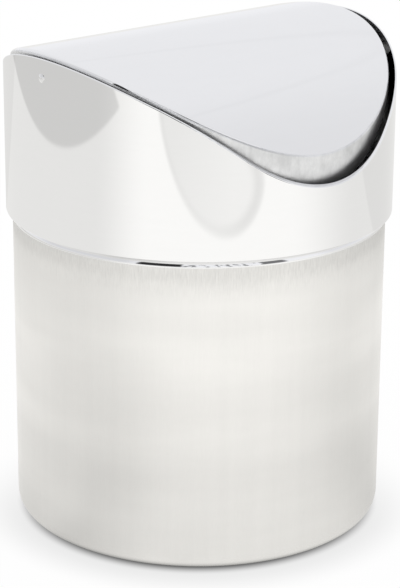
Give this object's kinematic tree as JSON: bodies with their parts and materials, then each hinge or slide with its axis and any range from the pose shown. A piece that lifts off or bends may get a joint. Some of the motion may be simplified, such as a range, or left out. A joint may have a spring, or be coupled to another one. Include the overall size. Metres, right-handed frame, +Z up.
{
  "type": "tabletop swing bin",
  "caption": "Small round steel bin with a lift-off polished lid ring and a barrel-shaped flap that swings on two pins.",
  "frame": {"origin": "on the table, under the middle of the tub", "axes": "+Z up, +X along the hinge line towards the right-hand pin, -Y towards the low side of the rim that the picture shows"},
  "size_m": [0.121, 0.12, 0.1546],
  "materials": {
    "brushed_tub": "fine brushed stainless steel",
    "polished_lid": "mirror-polished stainless steel",
    "polished_flap": "mirror-polished stainless steel",
    "pin_steel": "polished steel",
    "bush_nylon": "black moulded nylon",
    "ring_plastic": "black moulded plastic",
    "pad_rubber": "matt non-slip rubber"
  },
  "bodies": {
    "tub": {"bin_body": "brushed_tub", "base_pad": "pad_rubber"},
    "lid": {"lid_collar": "polished_lid", "lid_locating_ring": "ring_plastic", "hinge_pin_left": "pin_steel", "hinge_pin_right": "pin_steel", "hinge_bush_left": "bush_nylon", "hinge_bush_right": "bush_nylon", "pin_retainer_left": "bush_nylon", "pin_retainer_right": "bush_nylon"},
    "flap": {"swing_flap": "polished_flap"}
  },
  "joints": [
    {"name": "lid_lift", "type": "slide", "parent": "tub", "child": "lid", "axis": [0, 0, 1], "range_m": [0, 0.05]},
    {"name": "flap_swing", "type": "hinge", "parent": "lid", "child": "flap", "pos_m": [0, 0, 0.1481], "axis": [1, 0, 0], "range_deg": [-91.9, 88.1]}
  ]
}
